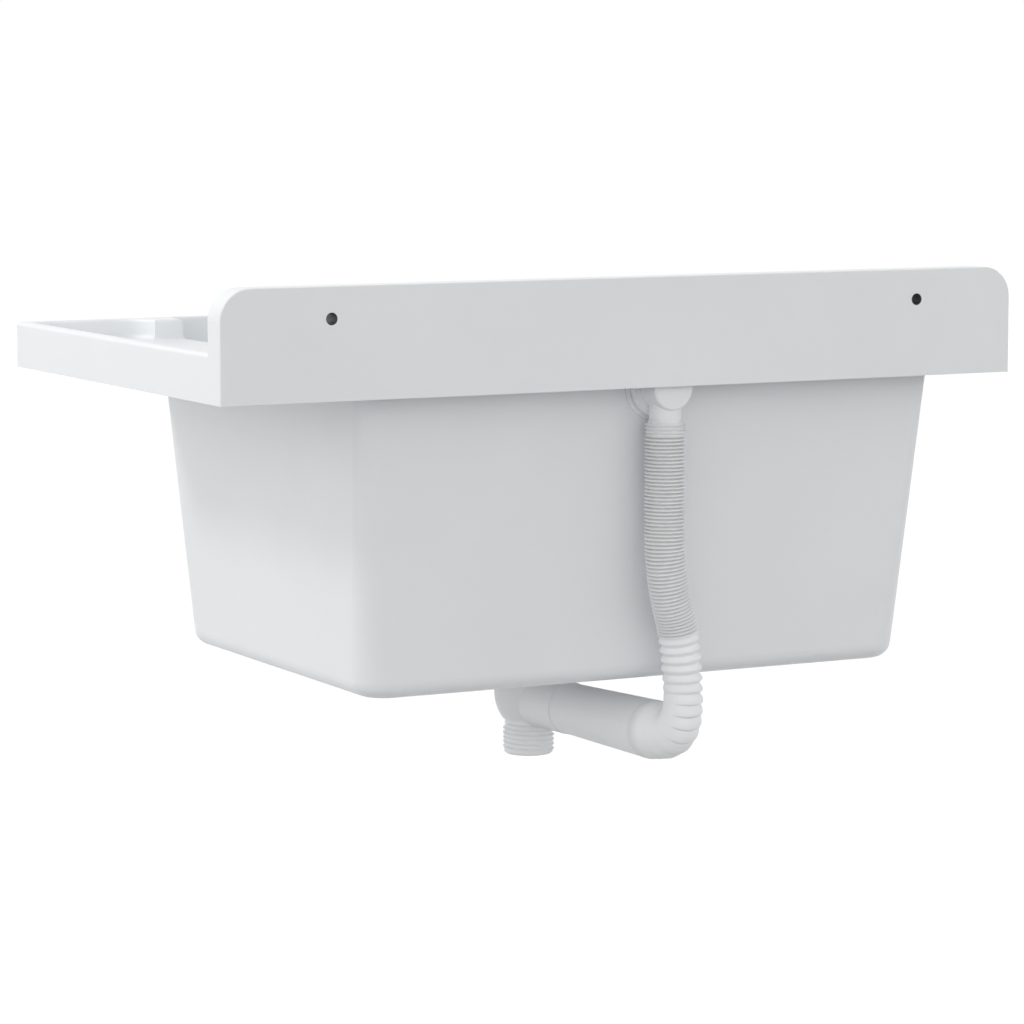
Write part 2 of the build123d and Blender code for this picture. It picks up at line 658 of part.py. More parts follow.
with BuildLine() as hose_line:
    FilletPolyline(*HOSE_ROUTE, radius=[HOSE_DRIFT_R, HOSE_DRIFT_R, HOSE_BEND_R])
HOSE_PATH = hose_line.wire()
HOSE_L = HOSE_PATH.length
CUFF_MOUTH = HOSE_L - 2 * HOSE_CREST_R
RIBS_END = CUFF_MOUTH - COLLAR_L
COARSE_START = HOSE_RIB_DEPTH + FINE_RIBS * FINE_PITCH
COARSE_RIBS = int((RIBS_END - COARSE_START) / COARSE_PITCH)


def hose_circle(along, radius):
    """Circle across the hose, at a length along its path."""
    at = HOSE_PATH.position_at(along, position_mode=PositionMode.LENGTH)
    aim = HOSE_PATH.tangent_at(along, position_mode=PositionMode.LENGTH)
    with BuildSketch(Plane(origin=at, x_dir=(1, 0, 0), z_dir=aim)) as across:
        Circle(radius)
    return across.sketch


def swell(along):
    """How far the hose has widened from its fine ribs to its bend, 0 to 1."""
    return min(max((along - COARSE_START) / (RIBS_END - COARSE_START), 0.0), 1.0)


def crest_r(along):
    return HOSE_CREST_R + (COARSE_CREST_R - HOSE_CREST_R) * swell(along) ** 2


def valley_r(along):
    return crest_r(along) - HOSE_RIB_DEPTH - (COARSE_RIB_DEPTH - HOSE_RIB_DEPTH) * swell(along)


FIN = ((0.0, valley_r), (0.5, crest_r))
FOLD = ((0.05, valley_r), (0.35, crest_r), (0.65, crest_r), (0.95, valley_r))
COARSE_STEP = (RIBS_END - COARSE_START) / COARSE_RIBS
ribs = [(HOSE_RIB_DEPTH + n * FINE_PITCH, FINE_PITCH, FIN) for n in range(FINE_RIBS)]
ribs += [(COARSE_START + n * COARSE_STEP, COARSE_STEP, FOLD) for n in range(COARSE_RIBS)]
rings = [hose_circle(0, valley_r(0))]
for start, pitch, shape in ribs:
    for share, radius in shape:
        along = start + share * pitch
        rings.append(hose_circle(along, radius(along)))
rings.append(hose_circle(RIBS_END, COARSE_CREST_R))
rings.append(hose_circle(CUFF_MOUTH - 2 * RUN, CUFF_END_R))
rings.append(hose_circle(CUFF_MOUTH - RUN, HOSE_END_R))
rings.append(hose_circle(HOSE_L, HOSE_END_R))
BORE_STEPS = 24
bores = []
for n in range(BORE_STEPS + 1):
    along = HOSE_L * n / BORE_STEPS
    bores.append(hose_circle(along, min(valley_r(along), HOSE_END_R) - HOSE_WALL))

with BuildPart() as overflow_hose:
    loft(rings, ruled=True)
    loft(bores, ruled=True, mode=Mode.SUBTRACT)
print(f"hose length {HOSE_L:.1f} mm, {FINE_RIBS} fine and {COARSE_RIBS} coarse ribs")

# Plug: a tapered stopper in the strainer's dish, with a knob to lift it by
PLUG_Z = STRAINER_Z + STRAINER_T + RUN
SEAT_SLOPE = (RIM_INNER_R - STRAINER_DISH_R) / STRAINER_DISH_H
PLUG_NECK_R = RIM_INNER_R - 2 * RUN
PLUG_FOOT_R = PLUG_NECK_R - PLUG_DEPTH * SEAT_SLOPE
PLUG_TOP = PLUG_Z + PLUG_FLANGE_T

with BuildPart() as plug:
    stopper = [
        (0, PLUG_Z - PLUG_DEPTH + PLUG_HOLLOW_H),
        (PLUG_HOLLOW_R, PLUG_Z - PLUG_DEPTH + PLUG_HOLLOW_H),
        (PLUG_HOLLOW_R, PLUG_Z - PLUG_DEPTH),
        (PLUG_FOOT_R, PLUG_Z - PLUG_DEPTH),
        (PLUG_NECK_R, PLUG_Z),
        (PLUG_R, PLUG_Z),
        (PLUG_R, PLUG_TOP - PLUG_EDGE),
        (PLUG_R - PLUG_EDGE, PLUG_TOP),
        (GRIP_PIN_R, PLUG_TOP),
        (GRIP_PIN_R, PLUG_TOP - GRIP_PIN_L),
        (0, PLUG_TOP - GRIP_PIN_L),
    ]
    revolve(half_section(WASTE_HALF, stopper), axis=WASTE_AXIS)

with BuildPart() as plug_grip:
    KNOB_Z = PLUG_TOP + GRIP_STEM_H
    knob = [
        (0, PLUG_TOP - GRIP_PIN_L),
        (GRIP_PIN_R, PLUG_TOP - GRIP_PIN_L),
        (GRIP_PIN_R, PLUG_TOP),
        (GRIP_STEM_R, PLUG_TOP),
        (GRIP_STEM_R, KNOB_Z),
        (GRIP_KNOB_R, KNOB_Z),
        (GRIP_KNOB_R, KNOB_Z + GRIP_KNOB_H),
        (0, KNOB_Z + GRIP_KNOB_H),
    ]
    revolve(half_section(WASTE_HALF, knob), axis=WASTE_AXIS)
    rims = plug_grip.edges().filter_by(GeomType.CIRCLE).sort_by(SortBy.RADIUS)[-2:]
    fillet(rims, GRIP_EDGE_R)

keep(strainer_seal, "strainer_seal")
keep(strainer, "strainer")
keep(waste_screw, "waste_screw")
keep(waste_gasket, "waste_gasket")
keep(waste_body, "waste_body")
keep(waste_insert, "waste_insert")
keep(inlet_seal, "inlet_seal")
keep(hose_cuff, "hose_cuff")
keep(overflow_hose, "overflow_hose")
keep(overflow_gasket, "overflow_gasket")
keep(overflow_body, "overflow_body")
keep(overflow_insert, "overflow_insert")
keep(overflow_rosette, "overflow_rosette")
keep(overflow_screw, "overflow_screw")
keep(plug, "plug")
keep(plug_grip, "plug_grip")
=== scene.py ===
# %% [markdown]
# A wall-hung utility sink
# The solids of the sink are already modelled, so this lesson dresses them: a camera and a plain
# studio first, then the finishes, then the pieces that a plain solid can't show, such as the ribs
# of the overflow hose and the thread on the waste tail. Everything is in metres, in the sink's own
# frame: the origin is midway between the two wall screws, +Y runs into the wall and +Z is up.

import json
from bisect import bisect_left
from math import cos, pi, radians, sin, sqrt, tau

import bmesh
import bpy
from mathutils import Matrix, Vector


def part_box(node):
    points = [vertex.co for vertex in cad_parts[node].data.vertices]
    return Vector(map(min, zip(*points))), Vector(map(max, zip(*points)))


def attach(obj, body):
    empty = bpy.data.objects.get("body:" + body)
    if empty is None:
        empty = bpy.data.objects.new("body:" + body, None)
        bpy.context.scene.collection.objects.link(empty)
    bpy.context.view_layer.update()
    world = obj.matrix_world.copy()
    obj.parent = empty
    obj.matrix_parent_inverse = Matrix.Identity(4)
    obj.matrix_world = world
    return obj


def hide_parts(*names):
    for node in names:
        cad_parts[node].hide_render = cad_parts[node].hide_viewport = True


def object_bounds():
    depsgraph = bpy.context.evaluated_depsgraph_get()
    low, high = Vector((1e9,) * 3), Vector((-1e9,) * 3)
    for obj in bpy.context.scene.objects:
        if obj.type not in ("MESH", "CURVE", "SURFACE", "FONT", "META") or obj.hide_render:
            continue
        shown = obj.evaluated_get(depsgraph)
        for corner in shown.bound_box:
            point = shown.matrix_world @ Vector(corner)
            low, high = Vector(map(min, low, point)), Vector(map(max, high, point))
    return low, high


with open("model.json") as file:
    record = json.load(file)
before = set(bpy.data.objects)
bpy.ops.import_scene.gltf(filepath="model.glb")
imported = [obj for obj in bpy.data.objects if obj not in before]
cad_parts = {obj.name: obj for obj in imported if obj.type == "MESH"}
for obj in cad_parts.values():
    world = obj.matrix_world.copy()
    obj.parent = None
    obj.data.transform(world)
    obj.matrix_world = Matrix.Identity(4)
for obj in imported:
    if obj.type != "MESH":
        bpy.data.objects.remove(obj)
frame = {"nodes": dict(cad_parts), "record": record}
nodes = frame["nodes"]
cad_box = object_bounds()
scene = bpy.context.scene
MM = 0.001


def rounded(points):
    """Points with short numbers, for printing."""
    return [tuple(round(v, 4) for v in point) for point in points]


print(len(nodes), "nodes, box", rounded(cad_box))

# %% [markdown]
# The camera
# The photograph was taken from behind the sink, a little to the side of the tray and a little
# above, through a long lens. A camera is easiest to repeat when it is written as the point it looks
# at, two angles and a distance, so those four values drive it here.

# %% Camera at the photograph's angle
LOOK_AT = Vector((-11.8, -200.0, -157.2)) * MM
VIEW_TURN = radians(152.38)
VIEW_RISE = radians(6.65)
VIEW_DISTANCE = 2759.0 * MM
LENS, SENSOR = 135.5, 36.0
FARTHEST = 60.0

towards_camera = Vector((
    sin(VIEW_TURN) * cos(VIEW_RISE),
    -cos(VIEW_TURN) * cos(VIEW_RISE),
    sin(VIEW_RISE),
))
camera = bpy.data.objects.new("camera", bpy.data.cameras.new("camera"))
camera.data.lens = LENS
camera.data.sensor_width = SENSOR
camera.data.clip_end = FARTHEST
camera.location = LOOK_AT + towards_camera * VIEW_DISTANCE
camera.rotation_euler = towards_camera.to_track_quat("Z", "Y").to_euler()
scene.collection.objects.link(camera)
scene.camera = camera
print("camera at", rounded([camera.location]))

# %% [markdown]
# The studio
# White on white only reads when the light has a direction. The world is brightest near the
# horizon, so the upright walls are lit more than the faces that look up. Two soft lamps stand on
# the tray's side: the lower one makes the end of the sink brighter than its back and lets the rim
# throw a shadow on the tub, and the higher one lights the rim and the tray from above.
# The white around the sink isn't made with more light: the world and the floor show as white to the
# camera and in reflections, and light the sink at a level of their own. The floor's underside is
# clear, so the bottom of the sink can be looked at too.

# %% Helpers for node trees
def add_node(tree, kind, **settings):
    """A node of that kind, with its properties set."""
    made = tree.nodes.new(kind)
    for name, value in settings.items():
        setattr(made, name, value)
    return made


def wire(tree, *pairs):
    """Links each output to the input that it feeds."""
    for source, target in pairs:
        tree.links.new(source, target)


def seen_directly(tree):
    """1 for camera, glossy and transmission rays, and 0 for the rays that light things."""
    path = add_node(tree, "ShaderNodeLightPath")
    first = add_node(tree, "ShaderNodeMath", operation="MAXIMUM")
    second = add_node(tree, "ShaderNodeMath", operation="MAXIMUM")
    wire(
        tree,
        (path.outputs["Is Camera Ray"], first.inputs[0]),
        (path.outputs["Is Glossy Ray"], first.inputs[1]),
        (first.outputs[0], second.inputs[0]),
        (path.outputs["Is Transmission Ray"], second.inputs[1]),
    )
    return second.outputs[0]


print("node helpers are ready")

# %% World
LOW_SKY, HIGH_SKY, HIGH_FROM = 2.02, 0.52, 0.6
FILL_TURN = 0.12
WHITE = (1, 1, 1, 1)
scene.view_settings.view_transform = "Standard"
world = bpy.data.worlds.new("studio")
scene.world = world
world.use_nodes = True
sky = world.node_tree
sky.nodes.clear()
aim = add_node(sky, "ShaderNodeSeparateXYZ")
height = add_node(sky, "ShaderNodeMapRange")
height.inputs["From Max"].default_value = HIGH_FROM
height.inputs["To Min"].default_value = LOW_SKY
height.inputs["To Max"].default_value = HIGH_SKY
turn = add_node(sky, "ShaderNodeMath", operation="MULTIPLY_ADD")
turn.inputs[1].default_value = FILL_TURN
fill = add_node(sky, "ShaderNodeBackground")
plain = add_node(sky, "ShaderNodeBackground")
for background in (fill, plain):
    background.inputs["Color"].default_value = WHITE
choose = add_node(sky, "ShaderNodeMixShader")
wire(
    sky,
    (add_node(sky, "ShaderNodeTexCoord").outputs["Generated"], aim.inputs[0]),
    (aim.outputs["Z"], height.inputs["Value"]),
    (aim.outputs["X"], turn.inputs[0]),
    (height.outputs["Result"], turn.inputs[2]),
    (turn.outputs[0], fill.inputs["Strength"]),
    (seen_directly(sky), choose.inputs[0]),
    (fill.outputs[0], choose.inputs[1]),
    (plain.outputs[0], choose.inputs[2]),
    (choose.outputs[0], add_node(sky, "ShaderNodeOutputWorld").inputs["Surface"]),
)
print("sky from", LOW_SKY, "at the horizon to", HIGH_SKY, "overhead")

# %% Floor
FLOOR_DROP = 0.55
FLOOR_SIZE = 30.0
FLOOR_TONE = 0.41
FLOOR_GLOW = 0.76
floor_level = cad_box[0].z - FLOOR_DROP
floor_shape = bmesh.new()
bmesh.ops.create_grid(
    floor_shape, x_segments=1, y_segments=1, size=FLOOR_SIZE,
    matrix=Matrix.Translation((0, 0, floor_level)),
)
floor_mesh = bpy.data.meshes.new("floor")
floor_shape.to_mesh(floor_mesh)
floor_shape.free()
floor = bpy.data.objects.new("floor", floor_mesh)
scene.collection.objects.link(floor)

floor_finish = bpy.data.materials.new("pale_floor")
floor_finish.use_nodes = True
tree = floor_finish.node_tree
tree.nodes.clear()
matt = add_node(tree, "ShaderNodeBsdfDiffuse")
matt.inputs["Color"].default_value = (FLOOR_TONE, FLOOR_TONE, FLOOR_TONE, 1)
glow = add_node(tree, "ShaderNodeEmission")
level = add_node(tree, "ShaderNodeMath", operation="MULTIPLY")
level.inputs[1].default_value = FLOOR_GLOW
both = add_node(tree, "ShaderNodeAddShader")
one_way = add_node(tree, "ShaderNodeMixShader")
wire(
    tree,
    (seen_directly(tree), level.inputs[0]),
    (level.outputs[0], glow.inputs["Strength"]),
    (matt.outputs[0], both.inputs[0]),
    (glow.outputs[0], both.inputs[1]),
    (add_node(tree, "ShaderNodeNewGeometry").outputs["Backfacing"], one_way.inputs[0]),
    (both.outputs[0], one_way.inputs[1]),
    (add_node(tree, "ShaderNodeBsdfTransparent").outputs[0], one_way.inputs[2]),
    (one_way.outputs[0], add_node(tree, "ShaderNodeOutputMaterial").inputs["Surface"]),
)
floor_mesh.materials.append(floor_finish)
print("floor at", round(floor_level, 3))

# %% Lamps
LAMPS = (
    # name, place, width in metres, power in watts
    ("key_lamp", (2.4, -1.2, 2.0), 0.5, 19.0),
    ("top_lamp", (1.3, -0.4, 2.6), 1.0, 12.0),
)
for name, place, width, power in LAMPS:
    lamp = bpy.data.objects.new(name, bpy.data.lights.new(name, "AREA"))
    lamp.data.size = width
    lamp.data.energy = power
    lamp.location = place
    lamp.rotation_euler = (Vector(place) - LOOK_AT).to_track_quat("Z", "Y").to_euler()
    scene.collection.objects.link(lamp)
    print(name, "at", place, power, "W")

# %% [markdown]
# Finishes
# Cast resin, moulded plastic, rubber and brass share two effects: a slow change of tone, and a
# fine grain that breaks up the gloss. Each effect is built once as a node group with named sockets,
# and every finish sets its own values on it. The grain leaves its group as a height for a Bump
# node, and with it comes a roughness that drifts between two values.

# %% Helpers for node groups
FLOAT, COLOUR, VECTOR = "NodeSocketFloat", "NodeSocketColor", "NodeSocketVector"
NOISE_LOW, NOISE_HIGH = 0.3, 0.7


def new_group(name, inputs, outputs):
    """An empty shader node group with its sockets, and its two end nodes."""
    group = bpy.data.node_groups.new(name, "ShaderNodeTree")
    for side, sockets in (("INPUT", inputs), ("OUTPUT", outputs)):
        for label, kind in sockets:
            group.interface.new_socket(label, in_out=side, socket_type=kind)
    return group, add_node(group, "NodeGroupInput"), add_node(group, "NodeGroupOutput")


def stretched_noise(tree, detail, **settings):
    """A noise node, and a Map Range node over the values that a noise mostly has."""
    pattern = add_node(tree, "ShaderNodeTexNoise", **settings)
    pattern.inputs["Detail"].default_value = detail
    spread = add_node(tree, "ShaderNodeMapRange")
    spread.inputs["From Min"].default_value = NOISE_LOW
    spread.inputs["From Max"].default_value = NOISE_HIGH
    wire(tree, (pattern.outputs["Fac"], spread.inputs["Value"]))
    return pattern, spread


print("noise is stretched from", NOISE_LOW, "to", NOISE_HIGH)

# %% Slow change of tone
PATCH_SCALE, PATCH_DETAIL = 9.0, 4.0
soft_tone, taken, given = new_group(
    "soft_tone",
    (("Place", VECTOR), ("Light", COLOUR), ("Dark", COLOUR), ("Patch Scale", FLOAT)),
    (("Colour", COLOUR),),
)
patches, fade = stretched_noise(soft_tone, PATCH_DETAIL)
fade.interpolation_type = "SMOOTHSTEP"
tint = add_node(soft_tone, "ShaderNodeMix", data_type="RGBA")
wire(
    soft_tone,
    (taken.outputs["Place"], patches.inputs["Vector"]),
    (taken.outputs["Patch Scale"], patches.inputs["Scale"]),
    (fade.outputs["Result"], tint.inputs["Factor"]),
    (taken.outputs["Dark"], tint.inputs["A"]),
    (taken.outputs["Light"], tint.inputs["B"]),
    (tint.outputs["Result"], given.inputs["Colour"]),
)
print(soft_tone.name, "has", len(soft_tone.nodes), "nodes")

# %% Fine grain
GRAIN_DETAIL, SMEAR_SCALE, SMEAR_DETAIL = 3.0, 22.0, 5.0
fine_grain, taken, given = new_group(
    "fine_grain",
    (("Place", VECTOR), ("Grain Scale", FLOAT), ("Smoothest", FLOAT), ("Roughest", FLOAT)),
    (("Height", FLOAT), ("Roughness", FLOAT)),
)
grain = add_node(fine_grain, "ShaderNodeTexNoise")
grain.inputs["Detail"].default_value = GRAIN_DETAIL
smears, gloss = stretched_noise(fine_grain, SMEAR_DETAIL)
smears.inputs["Scale"].default_value = SMEAR_SCALE
wire(
    fine_grain,
    (taken.outputs["Place"], grain.inputs["Vector"]),
    (taken.outputs["Place"], smears.inputs["Vector"]),
    (taken.outputs["Grain Scale"], grain.inputs["Scale"]),
    (taken.outputs["Smoothest"], gloss.inputs["To Min"]),
    (taken.outputs["Roughest"], gloss.inputs["To Max"]),
    (grain.outputs["Fac"], given.inputs["Height"]),
    (gloss.outputs["Result"], given.inputs["Roughness"]),
)
print(fine_grain.name, "has", len(fine_grain.nodes), "nodes")

# %% Finishes made from those effects
BUMP_STRENGTH = 0.5
GRAINED_FINISHES = (
    # slot, light tone, dark tone, roughness from and to, grain scale, grain depth in mm, metallic
    ("cast_resin", (0.85, 0.868, 0.884), (0.832, 0.85, 0.867), (0.3, 0.38), 700.0, 0.02, 0.0),
    ("white_plastic", (0.875, 0.887, 0.898), (0.85, 0.863, 0.875), (0.4, 0.5), 1500.0, 0.03, 0.0),
    ("hose_plastic", (0.952, 0.96, 0.968), (0.93, 0.94, 0.95), (0.42, 0.52), 1300.0, 0.03, 0.0),
    ("brass", (0.72, 0.54, 0.25), (0.6, 0.44, 0.19), (0.25, 0.4), 1500.0, 0.02, 1.0),
    ("seal_rubber", (0.74, 0.75, 0.76), (0.7, 0.71, 0.72), (0.55, 0.7), 1200.0, 0.05, 0.0),
    ("plug_rubber", (0.72, 0.72, 0.7), (0.66, 0.66, 0.64), (0.55, 0.7), 1200.0, 0.05, 0.0),
)


def finish(name, light, dark, roughness, marks, values, depth, metallic):
    """A Principled material with the shared tone and a group of marks, on Object coordinates."""
    material = bpy.data.materials.new(name)
    material.use_nodes = True
    tree = material.node_tree
    shader = tree.nodes["Principled BSDF"]
    shader.inputs["Metallic"].default_value = metallic
    place = add_node(tree, "ShaderNodeTexCoord").outputs["Object"]
    tone = add_node(tree, "ShaderNodeGroup", node_tree=soft_tone)
    tone.inputs["Light"].default_value = (*light, 1)
    tone.inputs["Dark"].default_value = (*dark, 1)
    tone.inputs["Patch Scale"].default_value = PATCH_SCALE
    skin = add_node(tree, "ShaderNodeGroup", node_tree=marks)
    skin.inputs["Smoothest"].default_value, skin.inputs["Roughest"].default_value = roughness
    for label, value in values.items():
        skin.inputs[label].default_value = value
    relief = add_node(tree, "ShaderNodeBump")
    relief.inputs["Distance"].default_value = depth
    relief.inputs["Strength"].default_value = BUMP_STRENGTH
    wire(
        tree,
        (place, tone.inputs["Place"]),
        (place, skin.inputs["Place"]),
        (tone.outputs["Colour"], shader.inputs["Base Color"]),
        (skin.outputs["Roughness"], shader.inputs["Roughness"]),
        (skin.outputs["Height"], relief.inputs["Height"]),
        (relief.outputs["Normal"], shader.inputs["Normal"]),
    )
    return material


finish_of_slot = {}
for slot, light, dark, roughness, grain_scale, depth_mm, metallic in GRAINED_FINISHES:
    finish_of_slot[slot] = finish(
        slot, light, dark, roughness,
        fine_grain, {"Grain Scale": grain_scale}, depth_mm * MM, metallic,
    )
print("grained finishes:", list(finish_of_slot))

# %% [markdown]
# Turned steel
# The strainer and the rosette are pressed and then polished as they spin, which leaves fine rings
# round their own axes. Noise that only knows the distance from an axis gives such rings, and a
# third group holds it. The strainer lies flat and the rosette stands upright, so the steel is made
# twice, with another centre and another pair of directions across the axis.

# %% Rings of the polishing wheel
RING_DETAIL = 4.0
turned_rings, taken, given = new_group(
    "turned_rings",
    (("Place", VECTOR), ("Centre", VECTOR), ("Across", VECTOR),
     ("Ring Scale", FLOAT), ("Smoothest", FLOAT), ("Roughest", FLOAT)),
    (("Height", FLOAT), ("Roughness", FLOAT)),
)
offset = add_node(turned_rings, "ShaderNodeVectorMath", operation="SUBTRACT")
across = add_node(turned_rings, "ShaderNodeVectorMath", operation="MULTIPLY")
from_axis = add_node(turned_rings, "ShaderNodeVectorMath", operation="LENGTH")
rings, polish = stretched_noise(turned_rings, RING_DETAIL, noise_dimensions="1D")
wire(
    turned_rings,
    (taken.outputs["Place"], offset.inputs[0]),
    (taken.outputs["Centre"], offset.inputs[1]),
    (offset.outputs[0], across.inputs[0]),
    (taken.outputs["Across"], across.inputs[1]),
    (across.outputs[0], from_axis.inputs[0]),
    (from_axis.outputs["Value"], rings.inputs["W"]),
    (taken.outputs["Ring Scale"], rings.inputs["Scale"]),
    (taken.outputs["Smoothest"], polish.inputs["To Min"]),
    (taken.outputs["Roughest"], polish.inputs["To Max"]),
    (rings.outputs["Fac"], given.inputs["Height"]),
    (polish.outputs["Result"], given.inputs["Roughness"]),
)
print(turned_rings.name, "has", len(turned_rings.nodes), "nodes")

# %% Steel for the strainer and the rosette
STEEL_LIGHT, STEEL_DARK = (0.62, 0.62, 0.61), (0.55, 0.55, 0.54)
STEEL_ROUGHNESS, RING_SCALE, RING_DEPTH = (0.16, 0.36), 600.0, 0.03 * MM


def turned_steel(name, node, directions):
    """Stainless steel with rings round the middle of a node."""
    low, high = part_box(node)
    middle = (low + high) / 2
    values = {"Centre": middle, "Across": directions, "Ring Scale": RING_SCALE}
    print(name, "has its rings round", rounded([middle]))
    return finish(
        name, STEEL_LIGHT, STEEL_DARK, STEEL_ROUGHNESS,
        turned_rings, values, RING_DEPTH, metallic=1.0,
    )


finish_of_slot["stainless"] = turned_steel("stainless", "strainer", (1, 1, 0))
upright_steel = turned_steel("upright_steel", "overflow_rosette", (1, 0, 1))

# %% Finishes on the nodes
for part in frame["record"]["subparts"]:
    mesh = nodes[part["node"]].data
    mesh.materials.clear()
    mesh.materials.append(finish_of_slot[part["material_slot"]])
for node in ("overflow_rosette", "overflow_screw"):
    nodes[node].data.materials[0] = upright_steel

# %% [markdown]
# The wall-screw holes
# The two holes' bores are painted near-black as shade, so they read darker than the faces round
# them. Both lie the same distance from the sink's middle, so one mask serves both: the width is
# folded with an absolute value, and the distance to the hole's axis tells bore from face.

# %% Painted shade in the bores
BORE_PAINTED_SHADE = (0.09, 0.09, 0.092, 1)
BORE_EASE, BORE_BLUR = 0.03 * MM, 0.06 * MM
mounts = {mount["name"]: mount for mount in frame["record"]["mounts"]}
holes = mounts["wall_screw_holes"]["dims"]
hole_out = holes["spacing_x_mm"] / 2 * MM
bore_edge = holes["hole_r_mm"] * MM + BORE_EASE


def colour_over(material, mask, colour):
    """Lays a colour over a material's own one, by a mask from 0 to 1."""
    tree = material.node_tree
    base = tree.nodes["Principled BSDF"].inputs["Base Color"]
    laid = add_node(tree, "ShaderNodeMix", data_type="RGBA")
    laid.inputs["B"].default_value = colour
    wire(
        tree,
        (mask, laid.inputs["Factor"]),
        (base.links[0].from_socket, laid.inputs["A"]),
        (laid.outputs["Result"], base),
    )


tree = finish_of_slot["cast_resin"].node_tree
where = add_node(tree, "ShaderNodeSeparateXYZ")
folded = add_node(tree, "ShaderNodeMath", operation="ABSOLUTE")
flat = add_node(tree, "ShaderNodeCombineXYZ")
away = add_node(tree, "ShaderNodeVectorMath", operation="DISTANCE")
away.inputs[1].default_value = (hole_out, 0, 0)
in_bore = add_node(tree, "ShaderNodeMapRange")
in_bore.inputs["From Min"].default_value = bore_edge + BORE_BLUR
in_bore.inputs["From Max"].default_value = bore_edge
wire(
    tree,
    (tree.nodes["Texture Coordinate"].outputs["Object"], where.inputs[0]),
    (where.outputs["X"], folded.inputs[0]),
    (folded.outputs[0], flat.inputs["X"]),
    (where.outputs["Z"], flat.inputs["Z"]),
    (flat.outputs[0], away.inputs[0]),
    (away.outputs["Value"], in_bore.inputs["Value"]),
)
# Lays the near-black painted shade over the resin's colour inside the bores.
colour_over(finish_of_slot["cast_resin"], in_bore.outputs["Result"], BORE_PAINTED_SHADE)
print("bores at", hole_out, "m either side")

# %% [markdown]
# Painted shade between the ribs
# The gaps between the hose's ribs get a grey painted as shade, darker than the crests, and the top
# band and the collar get an even painted shade. The hose's mesh carries it as an attribute, from 0
# on a crest to 1 in a gap, and the hose's finish mixes a grey over its tone by it.

# %% Painted shade grey in the grooves
PAINTED_SHADE_GREY = (0.6, 0.605, 0.61, 1)
hose_finish = finish_of_slot["hose_plastic"]
gaps = add_node(hose_finish.node_tree, "ShaderNodeAttribute", attribute_name="painted_shade")
colour_over(hose_finish, gaps.outputs["Fac"], PAINTED_SHADE_GREY)
print("hose finish reads", gaps.attribute_name)

# %% [markdown]
# The overflow hose
# A thin-walled plastic hose is corrugated so that it bends without kinking: fine ribs on the long
# run down the tub's back, coarser ones where it widens into the bend. A bevelled curve would give a
# smooth pipe, and an array of rings would leave seams, so the hose is drawn as one skin: a circle
# is extruded from station to station along its route, swelling at each crest. The route is a NURBS
# spline on the same corner points as the solid, so the line has no kinks of its own.

# %% Hose route
HOSE_ROUTE = (
    (-34.5, -20.5, -77.0), (-34.5, -20.5, -130.0), (-34.5, -20.5, -183.0), (-51.3, -25.0, -233.0),
    (-51.3, -25.0, -296.0), (-47.4, -69.8, -296.0), (-46.0, -86.0, -296.0),
)
ROUTE_STEPS = 48
route = bpy.data.curves.new("hose_route", "CURVE")
route.dimensions = "3D"
spline = route.splines.new("NURBS")
spline.points.add(len(HOSE_ROUTE) - 1)
for control, place in zip(spline.points, HOSE_ROUTE):
    control.co = (*(Vector(place) * MM), 1.0)
spline.order_u = 3
spline.use_endpoint_u = True
spline.resolution_u = ROUTE_STEPS
guide = bpy.data.objects.new("hose_route", route)
guide_mesh = bpy.data.meshes.new_from_object(guide)
hose_line = [point.co.copy() for point in guide_mesh.vertices]
bpy.data.objects.remove(guide)
bpy.data.curves.remove(route)
bpy.data.meshes.remove(guide_mesh)
reached = [0.0]
for here, there in zip(hose_line, hose_line[1:]):
    reached.append(reached[-1] + (there - here).length)
hose_length = reached[-1]
print("hose", len(hose_line), "points,", round(hose_length, 4), "m")


# %% Ring of the hose at one station
def on_route(along):
    """Place and direction at a length along the hose's line."""
    last = min(max(bisect_left(reached, along), 1), len(reached) - 1)
    here, there = hose_line[last - 1], hose_line[last]
    share = (along - reached[last - 1]) / (reached[last] - reached[last - 1])
    return here.lerp(there, share), (there - here).normalized()


def ring_frame(along, radius):
    """Matrix from a unit circle to the hose: X to the tray's side, Y to the bend's inside."""
    place, aim = on_route(along)
    across = (Vector((1, 0, 0)) - aim * aim.x).normalized()
    turned = Matrix((across, aim.cross(across), aim)).transposed().to_4x4()
    return Matrix.Translation(place) @ turned @ Matrix.Scale(radius, 4)


print("hose from", rounded(on_route(0.0)[:1]), "to", rounded(on_route(hose_length)[:1]))

# %% [markdown]
# The ribs
# A rib's profile is a sine raised to a power: a high power gives a thin fin with a wide gap, and a
# low one gives a full fold. Round the bend the inside of the hose is squeezed smooth, so the ribs
# only rise on its outside there, where each fold ends in a ledge. Towards the cuff they fade out.

# %% Sizes of the hose
FINE_RIBS, FINE_PITCH, FINE_STEPS = 59, 2.5 * MM, 8
COARSE_RIBS, COARSE_STEPS = 13, 14
TOP_EDGE = 2.0 * MM
IN_CUFF, COLLAR = 28.0 * MM, 7.0 * MM
FINE_CREST, COARSE_CREST, COLLAR_R = 14.0 * MM, 19.8 * MM, 20.6 * MM
FINE_DEPTH, COARSE_DEPTH = 2.3 * MM, 2.6 * MM
FADE_LENGTH, FADE = 30.0 * MM, 0.72
BEND_FROM, BEND_TO = 172.0 * MM, 196.0 * MM

cuff_mouth = hose_length - IN_CUFF
ribs_end = cuff_mouth - COLLAR
coarse_from = TOP_EDGE + FINE_RIBS * FINE_PITCH
coarse_pitch = (ribs_end - coarse_from) / COARSE_RIBS


def ramp(value, low, high):
    """0 below low, 1 above high, straight between them."""
    return min(max((value - low) / (high - low), 0.0), 1.0)


